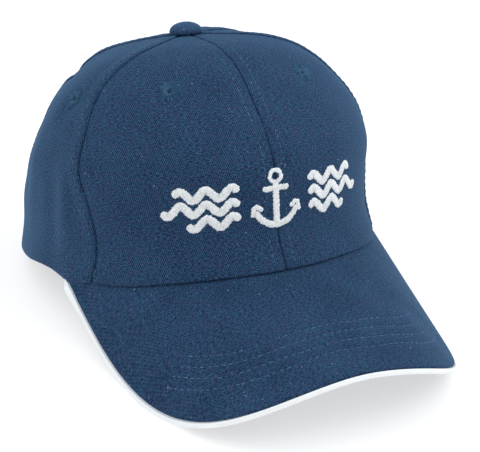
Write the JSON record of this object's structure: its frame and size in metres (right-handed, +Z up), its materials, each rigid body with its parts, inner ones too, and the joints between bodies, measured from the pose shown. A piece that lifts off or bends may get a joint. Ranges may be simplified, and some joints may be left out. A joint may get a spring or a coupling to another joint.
{
  "type": "skipper cap",
  "caption": "Six-panel navy cloth cap with a curved peak, white edge trim, covered button, stitched eyelets and an open back with overlapping straps.",
  "frame": {"origin": "middle of the cap's bounding box, on the surface it stands on", "axes": "+X to the wearer's left, +Y to the wearer's back with the peak towards -Y, +Z up from the surface"},
  "size_m": [0.1678, 0.2676, 0.1269],
  "materials": {
    "navy_twill": "heavy brushed cotton twill, matt",
    "navy_under_cloth": "flat cotton twill, matt",
    "white_trim": "white folded cotton and white thread",
    "sweatband_cloth": "soft plain cotton band",
    "eyelet_thread": "close satin stitching"
  },
  "bodies": {
    "root": {"panel_front_left": "navy_twill", "panel_front_right": "navy_twill", "panel_side_left": "navy_twill", "panel_side_right": "navy_twill", "panel_back_left": "navy_twill", "panel_back_right": "navy_twill", "top_button": "navy_twill", "peak_top": "navy_twill", "peak_under": "navy_under_cloth", "peak_trim": "white_trim", "sweatband": "sweatband_cloth", "strap_left": "navy_twill", "strap_right": "navy_twill", "eyelet_front_left": "eyelet_thread", "eyelet_front_right": "eyelet_thread", "eyelet_side_left": "eyelet_thread", "eyelet_side_right": "eyelet_thread", "eyelet_back_left": "eyelet_thread", "eyelet_back_right": "eyelet_thread"}
  },
  "joints": []
}
